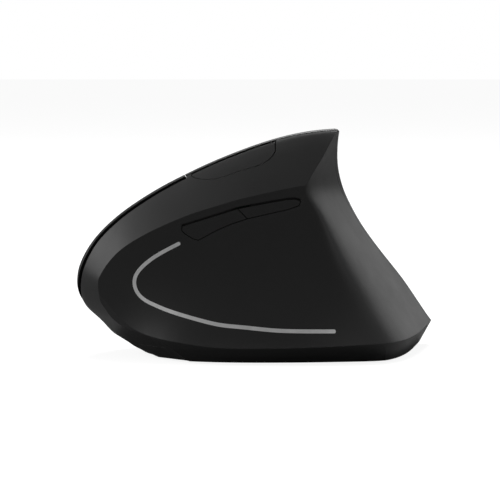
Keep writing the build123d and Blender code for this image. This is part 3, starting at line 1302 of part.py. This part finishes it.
def ridge_outline(grow):
    """Outline of the ridge button in a side view plane, open far above the crest."""
    points = []
    table = side_outline(DPI_OUTLINE_SHARES)
    lean = DPI_TILT_Z / DPI_TILT_Y
    for i, (x, z) in enumerate(table):
        into_x, into_z = inward(table, i)
        x, z = x - grow * into_x, z - grow * into_z
        points.append((x, -SIDE_REACH, z + lean * (SIDE_REACH + DPI_PLANE_Y)))
    top = (points[-1][0], -SIDE_REACH, 4 * SIDE_REACH), (points[0][0], -SIDE_REACH, 4 * SIDE_REACH)
    return Face(closed_section(points, top))


def ridge_prism(grow):
    """Room of the ridge button, drawn along its press direction."""
    return extrude(ridge_outline(grow), amount=2 * SIDE_REACH, dir=(0, DPI_TILT_Y, -DPI_TILT_Z))


DPI = Plane(origin=(DPI_X, DPI_Y, DPI_Z), x_dir=(1, 0, 0), z_dir=(0, -DPI_TILT_Y, DPI_TILT_Z))


def dpi_room(travel):
    """Space around the ridge button, above its switch, deepened by travel."""
    low = (-SIDE_REACH, -SIDE_REACH, DPI_STEM_END - travel)
    return DPI * corner_box(low, (SIDE_REACH, SIDE_REACH, SIDE_REACH))


def dpi_button():
    """Ridge button: cap with a stem to its switch."""
    skin = BODY & far_solid(PLATE + DPI_BACK_GAP) & ridge_prism(0) & dpi_room(0)
    skin = biggest(skin - band_solid(DPI_SKIN))
    stem = DPI * rod(STEM_R, (0, 0, DPI_STEM_END), UP_W, -DPI_STEM_END)
    return biggest(skin + (stem & band_solid(DPI_SKIN / 2)))


def dpi_board():
    """Board under the ridge button."""
    half = DPI_BOARD_HALF
    return DPI * corner_box((-half - DPI_RIB_T, -half, DPI_BOARD_W - THUMB_BOARD_T),
                            (half + DPI_RIB_T, DPI_BOARD_BACK, DPI_BOARD_W))


def dpi_switch():
    """Push switch under the ridge button."""
    return DPI * Pos(0, 0, DPI_BOARD_W) * tact_switch(DPI_STEM_END - DPI_TRAVEL - DPI_BOARD_W)


def dpi_ribs():
    """Ribs of the thumb shell that carry the ridge board."""
    ribs = []
    for side in (-1, 1):
        x = side * (DPI_BOARD_HALF + DPI_RIB_T / 2) - DPI_RIB_T / 2
        rib = corner_box((x, -DPI_RIB_FRONT, DPI_RIB_LOW), (x + DPI_RIB_T, DPI_BOARD_BACK, 0))
        pocket = corner_box((x, -DPI_BOARD_HALF, DPI_BOARD_W - THUMB_BOARD_T),
                            (x + DPI_RIB_T, SIDE_REACH, SIDE_REACH))
        ribs.append(DPI * (rib - pocket))
    return ribs


def palm_cover(plate):
    """Cover of the finger side with a boss for one base screw."""
    x, y, top = BASE_SCREWS[-1]
    bore = rod(BASE_SHANK_R, (x, y, 0), UP_W, BASE_SCREW_TOP)
    boss = ((rod(BASE_BOSS_R, (x, y, 0), UP_W, top) & UPPER & FORM) - bore) & far_solid(KEY_ROOT)
    return biggest(biggest(boss) + (plate - bore))


def thumb_shell(shell):
    """Thumb side shell with its posts, openings and the groove of the bright line."""
    body = shell
    for post in shell_posts() + dpi_ribs():
        body += post & ROOM
    for bore in post_bores():
        body -= bore
    body -= thumb_hole()
    body -= ridge_prism(DPI_GAP) & dpi_room(DPI_TRAVEL + DPI_GAP)
    body -= strip_slot() - near_solid(STRIP_T)
    return biggest(body)


def bright_strip():
    """Bright line let into the thumb side."""
    return biggest((strip_slot() & near_solid()) - near_solid(STRIP_T))


def finger_ribbon(board, frame):
    """Flat cable from the main board up to the finger board."""
    body = corner_box((FINGER_RIBBON_X[0], FINGER_RIBBON_Y, MAIN_BOARD_Z + MAIN_BOARD_T),
                      (FINGER_RIBBON_X[1], FINGER_RIBBON_Y + RIBBON_T, FINGER_RIBBON_TOP))
    pieces = (body - board - frame).solids()
    return min(pieces, key=lambda solid: solid.center().Z)


def thumb_ribbon():
    """Flat cable from the main board up to the thumb board."""
    return corner_box((THUMB_RIBBON_X[0], THUMB_RIBBON_Y, MAIN_BOARD_Z + MAIN_BOARD_T),
                      (THUMB_RIBBON_X[1], THUMB_RIBBON_Y + RIBBON_T, THUMB_BOARD_LOW[1]))


def wheel_springs():
    """Two small springs under the lugs of the cradle, drawn as long as they are when pressed."""
    top = CRADLE_LOW_W - CLICK_TRAVEL - SPRING_WIRE_R / 2
    frame = coil(SPRING_R, SPRING_WIRE_R, BOARD_W - BOARD_T, top, SPRING_TURNS)
    board = coil(SPRING_R, SPRING_WIRE_R, BOARD_W, top, SPRING_TURNS)
    return FINGER * Compound([Pos(guide_u(), 0, 0) * frame, Pos(-guide_u(), 0, 0) * board])


# Outer space, its inner wall faces and the pieces cut from it.
SPACE = corner_box((-SIDE_REACH, -SIDE_REACH, FOOT_T), (SIDE_REACH, SIDE_REACH, SIDE_REACH))
UPPER = above_parting()
FORM = SPACE & near_solid()
FORM = FORM & far_solid()
FORM = (FORM & skirt_solid()) - tip_corner()
BODY = FORM & band_solid()
CAVITY = SPACE & near_solid(WALL)
CAVITY = CAVITY & skirt_solid(WALL)
CAVITY = CAVITY & band_solid(WALL)
PLATES = FORM & band_solid(0, 0) & UPPER
PLATES = PLATES - far_solid(PLATE)
KEYS = PLATES & ahead_of_keys(-SEAM / 2) & Pos(0, 0, KEY_LOW_GAP) * UPPER
ROOM = BODY & UPPER & far_solid(PLATE)
SHELL = ROOM - CAVITY
SHELL = biggest(SHELL - (ahead_of_keys(SEAM / 2) - far_solid(KEY_PLATE + KEY_GAP)))
TRAY = (BODY - UPPER) - (Pos(0, 0, WALL) * SPACE & CAVITY & far_solid(WALL))

board, frame = finger_board(), finger_frame()
nodes = {
    "thumb_shell": thumb_shell(SHELL),
    "palm_cover": palm_cover(PLATES - ahead_of_keys(SEAM / 2)),
    "base_shell": base_shell(TRAY),
    "left_button": main_key(KEYS & above_split(SEAM / 2), 1),
    "right_button": main_key(KEYS - above_split(-SEAM / 2), -1),
    "dpi_button": dpi_button(),
    "forward_button": thumb_button(FORWARD_OUTLINE_SHARES, THUMB_STEMS[0], FORWARD_FLANGE_X),
    "back_button": thumb_button(BACK_OUTLINE_SHARES, THUMB_STEMS[1], BACK_FLANGE_X),
    "bright_strip": bright_strip(),
    "wheel_tyre": wheel_tyre(),
    "wheel_hub": wheel_hub(),
    "wheel_axle": wheel_axle(),
    "wheel_cradle": FINGER * cradle_body(),
    "wheel_springs": wheel_springs(),
    "scroll_encoder": encoder(),
    "finger_board": board,
    "finger_frame": frame,
    "hinge_pin": hinge_pin(),
    "frame_screws": frame_screws(),
    "left_switch": micro_switch(1),
    "right_switch": micro_switch(-1),
    "middle_switch": middle_switch(),
    "thumb_board": thumb_board(),
    "thumb_switches": thumb_switches(),
    "thumb_screws": thumb_screws(),
    "dpi_board": dpi_board(),
    "dpi_switch": dpi_switch(),
    "main_board": main_board(),
    "board_chips": board_chips(),
    "board_screws": board_screws(),
    "sensor_chip": sensor_chip(),
    "sensor_lens": sensor_lens(),
    "power_switch": power_body(),
    "power_slider": power_slider(),
    "finger_ribbon": finger_ribbon(board, frame),
    "thumb_ribbon": thumb_ribbon(),
    "battery_front": cell(cell_places()[0]),
    "battery_back": cell(cell_places()[1]),
    "spring_contacts": battery_contacts(True),
    "plate_contacts": battery_contacts(False),
    "battery_door": battery_door(),
    "receiver_cap": receiver_cap(),
    "receiver_plug": receiver_plug(),
    "front_foot": foot(FRONT_FOOT),
    "near_foot": foot(NEAR_FOOT),
    "far_foot": foot(FAR_FOOT),
    "rear_foot": foot(REAR_FOOT),
    "sensor_foot": ring_foot(),
    "base_screws": base_screws(),
}

os.makedirs("parts", exist_ok=True)
for name, shape in nodes.items():
    export_step(shape, f"parts/{name}.step")
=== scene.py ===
"""The dressed vertical mouse: finishes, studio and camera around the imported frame.

Metres, in the frame's own axes: x to the rear, y to the finger side, z up from the desk.
Every piece is a solid of the frame and keeps its shape; this script gives it its finish.
"""
import json
from math import cos, pi, radians, sin

import bpy
import numpy as np
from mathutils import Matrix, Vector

MM = 0.001

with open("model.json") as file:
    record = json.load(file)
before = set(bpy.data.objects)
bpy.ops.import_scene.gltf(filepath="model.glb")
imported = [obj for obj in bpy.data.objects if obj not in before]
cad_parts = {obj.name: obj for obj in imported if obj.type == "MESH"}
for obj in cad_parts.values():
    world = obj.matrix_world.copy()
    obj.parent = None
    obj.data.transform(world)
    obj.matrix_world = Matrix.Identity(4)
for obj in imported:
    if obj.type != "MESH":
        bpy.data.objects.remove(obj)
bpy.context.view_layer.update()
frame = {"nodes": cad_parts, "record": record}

# Camera: level side view from the thumb side, a little from above.
AIM = (-2.27 * MM, 0.0, 34.8 * MM)
DISTANCE = 1.0
ELEVATION = radians(5.0)
LENS = 216.2
SENSOR = 36.0
CLIP_NEAR = 0.01
CLIP_FAR = 20.0

# Tones of the mouldings and metals, as linear grey.
SOFT_BLACK = 0.0085
KEY_BLACK = 0.0085
SKIRT_BLACK = 0.0065
RUBBER_BLACK = 0.012
INNER_BLACK = 0.02
SWITCH_BLACK = 0.01
RECEIVER_BLACK = 0.012
FOOT_GREY = 0.03
CABLE_GREY = 0.5
TRIM_SILVER = 0.86
STEEL_GREY = 0.55
NICKEL_GREY = 0.6

# Colours of the board's lacquer, the cell's sleeve and the lens.
LACQUER_DARK = (0.004, 0.05, 0.02, 1.0)
LACQUER_LIGHT = (0.01, 0.1, 0.035, 1.0)
SLEEVE_DARK = (0.012, 0.013, 0.016, 1.0)
SLEEVE_LIGHT = (0.02, 0.021, 0.025, 1.0)
LENS_TINT = (0.9, 0.92, 0.93, 1.0)
LENS_INDEX = 1.49
WHITE = (1, 1, 1, 1)

# Soft touch coat that the hand holds: span of roughness, grain in waves a metre, its depth.
SOFT_ROUGHNESS = (0.44, 0.48)
SOFT_GRAIN = 7000.0
SOFT_DEPTH = 0.005 * MM

# Other moulded plastic and metal: grain in waves a metre and its depth.
MOULDED_GRAIN = 9000.0
MOULDED_DEPTH = 0.004 * MM
METAL_GRAIN = 4000.0
METAL_DEPTH = 0.002 * MM

# Rounding that the light shows on edges.
FINE_EDGE = 0.05 * MM
MOULDED_EDGE = 0.12 * MM
COVER_EDGE = 0.6 * MM
EDGE_SAMPLES = 6

# Clouds of tone and smears of gloss: waves a metre and shape of the noise.
MOULDED_CLOUD = 45.0
METAL_CLOUD = 300.0
CLOUD_DETAIL = 3.0
MOULDED_SMEAR = 110.0
SMEAR_DETAIL = 4.0
SMEAR_ROUGHNESS = 0.6
SMEAR_TWIST = 0.4
METAL_SMEAR = 900.0

# Shares by which a tone sinks and rises over a piece, and the span that noise values fill.
MOULDED_SPREAD = 0.12
METAL_DARK = 0.93
METAL_LIGHT = 1.05
NOISE_LOW = 0.3
NOISE_HIGH = 0.7

# Board: scale of the brick pattern that draws the tracks, width of its joints, height of the
# tracks and roughness of the lacquer.
TRACKS = 260.0
TRACK_EDGE = 0.06
TRACK_HEIGHT = 0.02 * MM
LACQUER_ROUGHNESS = 0.3

# Sleeve of a cell: waves a metre of its clouds and grain, depth of the grain, share of metal
# and roughness.
SLEEVE_CLOUD = 60.0
SLEEVE_GRAIN = 500.0
SLEEVE_DEPTH = 0.01 * MM
SLEEVE_METAL = 0.3
SLEEVE_ROUGHNESS = 0.3

# Lens: waves a metre of its smears and grain, depth of the grain, span of roughness.
LENS_SMEAR = 400.0
LENS_GRAIN = 900.0
LENS_DEPTH = 0.002 * MM
LENS_ROUGHNESS = (0.05, 0.12)

# Light: world fill, the floor's width, grey, glow and roughness, and the lamps, each with its
# name, place, size and watts.
FILL = 0.25
FLOOR_SIZE = 6.0
FLOOR_MATT = 0.3
FLOOR_GLOW = 0.88
FLOOR_ROUGHNESS = 0.9
LAMP_AIM = (0, 0, 0.03)
LAMPS = [
    ("overhead", (0.0, 0.52, 0.97), (0.5, 0.5), 9.0),
    ("rear side", (0.62, 0.82, 0.36), (0.5, 0.6), 0.9),
    ("rear front", (0.95, -0.3, 0.3), (0.8, 0.8), 0.9),
    ("nose side", (-0.98, 0.08, 0.56), (0.5, 0.5), 3.8),
]


def grey(value, warm=0.0):
    """A neutral colour of one linear value; warm tips it a little to red."""
    return (value * (1 + warm), value, value * (1 - warm), 1.0)


def node_tree(name):
    """A new material with an empty tree, its output and a principled shader."""
    material = bpy.data.materials.new(name)
    material.use_nodes = True
    tree = material.node_tree
    tree.nodes.clear()
    output = tree.nodes.new("ShaderNodeOutputMaterial")
    shader = tree.nodes.new("ShaderNodeBsdfPrincipled")
    tree.links.new(shader.outputs["BSDF"], output.inputs["Surface"])
    return material, tree, shader


def noise(tree, scale, detail=2.0, roughness=0.5, distortion=0.0):
    """A noise texture on the piece's own coordinates, scale in waves a metre."""
    coordinates = tree.nodes.new("ShaderNodeTexCoord")
    texture = tree.nodes.new("ShaderNodeTexNoise")
    texture.inputs["Scale"].default_value = scale
    texture.inputs["Detail"].default_value = detail
    texture.inputs["Roughness"].default_value = roughness
    texture.inputs["Distortion"].default_value = distortion
    tree.links.new(coordinates.outputs["Object"], texture.inputs["Vector"])
    return texture.outputs["Fac"]


def ranged(tree, value, low, high):
    """A noise value carried from the span that noise fills to low..high."""
    mapping = tree.nodes.new("ShaderNodeMapRange")
    mapping.inputs["From Min"].default_value = NOISE_LOW
    mapping.inputs["From Max"].default_value = NOISE_HIGH
    mapping.inputs["To Min"].default_value = low
    mapping.inputs["To Max"].default_value = high
    tree.links.new(value, mapping.inputs["Value"])
    return mapping.outputs["Result"]


def tinted(tree, shader, value, dark, light):
    """Base colour between two tones, by a value from 0 to 1."""
    mix = tree.nodes.new("ShaderNodeMix")
    mix.data_type = "RGBA"
    mix.inputs["A"].default_value = dark
    mix.inputs["B"].default_value = light
    tree.links.new(value, mix.inputs["Factor"])
    tree.links.new(mix.outputs["Result"], shader.inputs["Base Color"])


def bumped(tree, shader, value, depth, edge=0.0):
    """A bump of the given depth in metres, over a rounded-edge normal if edge is given."""
    bump = tree.nodes.new("ShaderNodeBump")
    bump.inputs["Strength"].default_value = 1.0
    bump.inputs["Distance"].default_value = depth
    tree.links.new(value, bump.inputs["Height"])
    if edge:
        bevel = tree.nodes.new("ShaderNodeBevel")
        bevel.samples = EDGE_SAMPLES
        bevel.inputs["Radius"].default_value = edge
        tree.links.new(bevel.outputs["Normal"], bump.inputs["Normal"])
    tree.links.new(bump.outputs["Normal"], shader.inputs["Normal"])


def moulded(name, tone, rough, grain=MOULDED_GRAIN, depth=MOULDED_DEPTH, edge=MOULDED_EDGE,
            warm=0.0):
    """Moulded plastic: a fine spark-eroded grain, a tone that clouds a little and a gloss that
    smears within the span of roughness given.
    """
    material, tree, shader = node_tree(name)
    cloud = noise(tree, MOULDED_CLOUD, CLOUD_DETAIL)
    tinted(tree, shader, ranged(tree, cloud, 0.0, 1.0), grey(tone * (1 - MOULDED_SPREAD), warm),
           grey(tone * (1 + MOULDED_SPREAD), warm))
    smear = noise(tree, MOULDED_SMEAR, SMEAR_DETAIL, SMEAR_ROUGHNESS, SMEAR_TWIST)
    tree.links.new(ranged(tree, smear, *rough), shader.inputs["Roughness"])
    bumped(tree, shader, noise(tree, grain), depth, edge)
    return material


def soft_touch(name, tone, edge=FINE_EDGE):
    """The matt rubbery coat of the shells and keys."""
    return moulded(name, tone, SOFT_ROUGHNESS, SOFT_GRAIN, SOFT_DEPTH, edge)


def metal(name, tone, rough, warm=0.0):
    """Plated or brushed metal with a light, fine texture, its roughness within a span."""
    material, tree, shader = node_tree(name)
    cloud = noise(tree, METAL_CLOUD, CLOUD_DETAIL)
    tinted(tree, shader, ranged(tree, cloud, 0.0, 1.0), grey(tone * METAL_DARK, warm),
           grey(tone * METAL_LIGHT, warm))
    shader.inputs["Metallic"].default_value = 1.0
    smear = noise(tree, METAL_SMEAR, CLOUD_DETAIL)
    tree.links.new(ranged(tree, smear, *rough), shader.inputs["Roughness"])
    bumped(tree, shader, noise(tree, METAL_GRAIN), METAL_DEPTH, FINE_EDGE)
    return material


def lacquered_board(name):
    """Green solder lacquer over faint copper tracks."""
    material, tree, shader = node_tree(name)
    coordinates = tree.nodes.new("ShaderNodeTexCoord")
    tracks = tree.nodes.new("ShaderNodeTexBrick")
    tracks.inputs["Scale"].default_value = TRACKS
    tracks.inputs["Mortar Size"].default_value = TRACK_EDGE
    tree.links.new(coordinates.outputs["Object"], tracks.inputs["Vector"])
    tinted(tree, shader, tracks.outputs["Fac"], LACQUER_DARK, LACQUER_LIGHT)
    shader.inputs["Roughness"].default_value = LACQUER_ROUGHNESS
    bumped(tree, shader, tracks.outputs["Fac"], TRACK_HEIGHT)
    return material


def wrapped_cell(name):
    """Dark, slightly metallic sleeve of a cell."""
    material, tree, shader = node_tree(name)
    cloud = noise(tree, SLEEVE_CLOUD)
    tinted(tree, shader, ranged(tree, cloud, 0.0, 1.0), SLEEVE_DARK, SLEEVE_LIGHT)
    shader.inputs["Metallic"].default_value = SLEEVE_METAL
    shader.inputs["Roughness"].default_value = SLEEVE_ROUGHNESS
    bumped(tree, shader, noise(tree, SLEEVE_GRAIN), SLEEVE_DEPTH)
    return material


def clear(name):
    """Clear moulded optics."""
    material, tree, shader = node_tree(name)
    shader.inputs["Base Color"].default_value = LENS_TINT
    shader.inputs["Transmission Weight"].default_value = 1.0
    shader.inputs["IOR"].default_value = LENS_INDEX
    smear = noise(tree, LENS_SMEAR)
    tree.links.new(ranged(tree, smear, *LENS_ROUGHNESS), shader.inputs["Roughness"])
    bumped(tree, shader, noise(tree, LENS_GRAIN), LENS_DEPTH)
    return material


# Finish of each material slot of the record. After a tone come its span of roughness and, where
# it isn't the usual one, the grain in waves a metre and its depth.
FINISHES = {
    "soft_black": soft_touch("soft touch black", SOFT_BLACK),
    "key_black": soft_touch("soft touch black keys", KEY_BLACK),
    "base_black": moulded("satin base black", SKIRT_BLACK, (0.35, 0.45), 5000.0, 0.006 * MM),
    "bright_trim": metal("satin silver trim", TRIM_SILVER, (0.42, 0.5)),
    "wheel_rubber": moulded("wheel rubber", RUBBER_BLACK, (0.6, 0.75), 3000.0, 0.01 * MM),
    "inner_plastic": moulded("inner plastic", INNER_BLACK, (0.4, 0.55)),
    "steel": metal("plated steel", STEEL_GREY, (0.2, 0.32)),
    "contact_metal": metal("nickel plate", NICKEL_GREY, (0.18, 0.28), warm=0.03),
    "circuit_board": lacquered_board("board lacquer"),
    "switch_black": moulded("switch plastic", SWITCH_BLACK, (0.3, 0.4)),
    "clear_lens": clear("clear lens"),
    "ribbon": moulded("flat cable", CABLE_GREY, (0.3, 0.4), warm=0.08),
    "cell": wrapped_cell("cell sleeve"),
    "receiver_black": moulded("receiver plastic", RECEIVER_BLACK, (0.3, 0.4)),
    "foot_grey": moulded("low friction film", FOOT_GREY, (0.25, 0.35), 2500.0, 0.003 * MM),
}

# Pieces whose edges are rounder than the others of their slot.
OWN_FINISHES = {
    "palm_cover": soft_touch("soft touch black cover", SOFT_BLACK, COVER_EDGE),
}


def dress_nodes():
    """Give every node its own finish, or that of its slot."""
    for part in frame["record"]["subparts"]:
        node = frame["nodes"][part["node"]]
        finish = OWN_FINISHES.get(part["node"], FINISHES[part["material_slot"]])
        if node.material_slots:
            for place in node.material_slots:
                place.material = finish
        else:
            node.data.materials.append(finish)


def soft_light(name, place, target, size, power):
    """Oblong soft lamp at a place, facing a target; power in watts."""
    data = bpy.data.lights.new(name, "AREA")
    data.shape = "RECTANGLE"
    data.size, data.size_y = size
    data.energy = power
    lamp = bpy.data.objects.new(name, data)
    lamp.location = place
    aim = np.array(target) - np.array(place)
    lamp.rotation_euler = Vector(aim).to_track_quat("-Z", "Y").to_euler()
    bpy.context.scene.collection.objects.link(lamp)


def seen_rays(tree):
    """One for a ray from the camera or through clear plastic, else zero."""
    path = tree.nodes.new("ShaderNodeLightPath")
    either = tree.nodes.new("ShaderNodeMath")
    either.operation = "MAXIMUM"
    tree.links.new(path.outputs["Is Camera Ray"], either.inputs[0])
    tree.links.new(path.outputs["Is Transmission Ray"], either.inputs[1])
    return either.outputs["Value"]


def pale_floor():
    """White floor that keeps a soft shadow: matt for its light, part glow where it is seen."""
    bpy.ops.mesh.primitive_plane_add(size=FLOOR_SIZE, location=(0, 0, 0))
    floor = bpy.context.object
    floor.name = "floor"
    material, tree, shader = node_tree("pale floor")
    shader.inputs["Base Color"].default_value = grey(FLOOR_MATT)
    shader.inputs["Roughness"].default_value = FLOOR_ROUGHNESS
    shader.inputs["Specular IOR Level"].default_value = 0.0
    shader.inputs["Emission Color"].default_value = WHITE
    glow = tree.nodes.new("ShaderNodeMath")
    glow.operation = "MULTIPLY"
    glow.inputs[1].default_value = FLOOR_GLOW
    tree.links.new(seen_rays(tree), glow.inputs[0])
    tree.links.new(glow.outputs["Value"], shader.inputs["Emission Strength"])
    floor.data.materials.append(material)


def world_light(tree, strength):
    """A white background of one strength for the world."""
    background = tree.nodes.new("ShaderNodeBackground")
    background.inputs["Color"].default_value = WHITE
    background.inputs["Strength"].default_value = strength
    return background.outputs["Background"]


def studio():
    """Pale world and floor, and the soft lamps."""
    scene = bpy.context.scene
    scene.view_settings.view_transform = "Standard"
    world = bpy.data.worlds.new("studio")
    scene.world = world
    world.use_nodes = True
    tree = world.node_tree
    tree.nodes.clear()
    output = tree.nodes.new("ShaderNodeOutputWorld")
    mix = tree.nodes.new("ShaderNodeMixShader")
    tree.links.new(seen_rays(tree), mix.inputs["Fac"])
    tree.links.new(world_light(tree, FILL), mix.inputs[1])
    tree.links.new(world_light(tree, 1.0), mix.inputs[2])
    tree.links.new(mix.outputs["Shader"], output.inputs["Surface"])

    pale_floor()
    for name, place, size, power in LAMPS:
        soft_light(name, place, LAMP_AIM, size, power)


def camera():
    """The photograph's view."""
    data = bpy.data.cameras.new("camera")
    data.lens = LENS
    data.sensor_width = SENSOR
    data.clip_start = CLIP_NEAR
    data.clip_end = CLIP_FAR
    view = bpy.data.objects.new("camera", data)
    view.location = (AIM[0], AIM[1] - DISTANCE * cos(ELEVATION),
                     AIM[2] + DISTANCE * sin(ELEVATION))
    view.rotation_euler = (pi / 2 - ELEVATION, 0.0, 0.0)
    bpy.context.scene.collection.objects.link(view)
    bpy.context.scene.camera = view


dress_nodes()
studio()
camera()
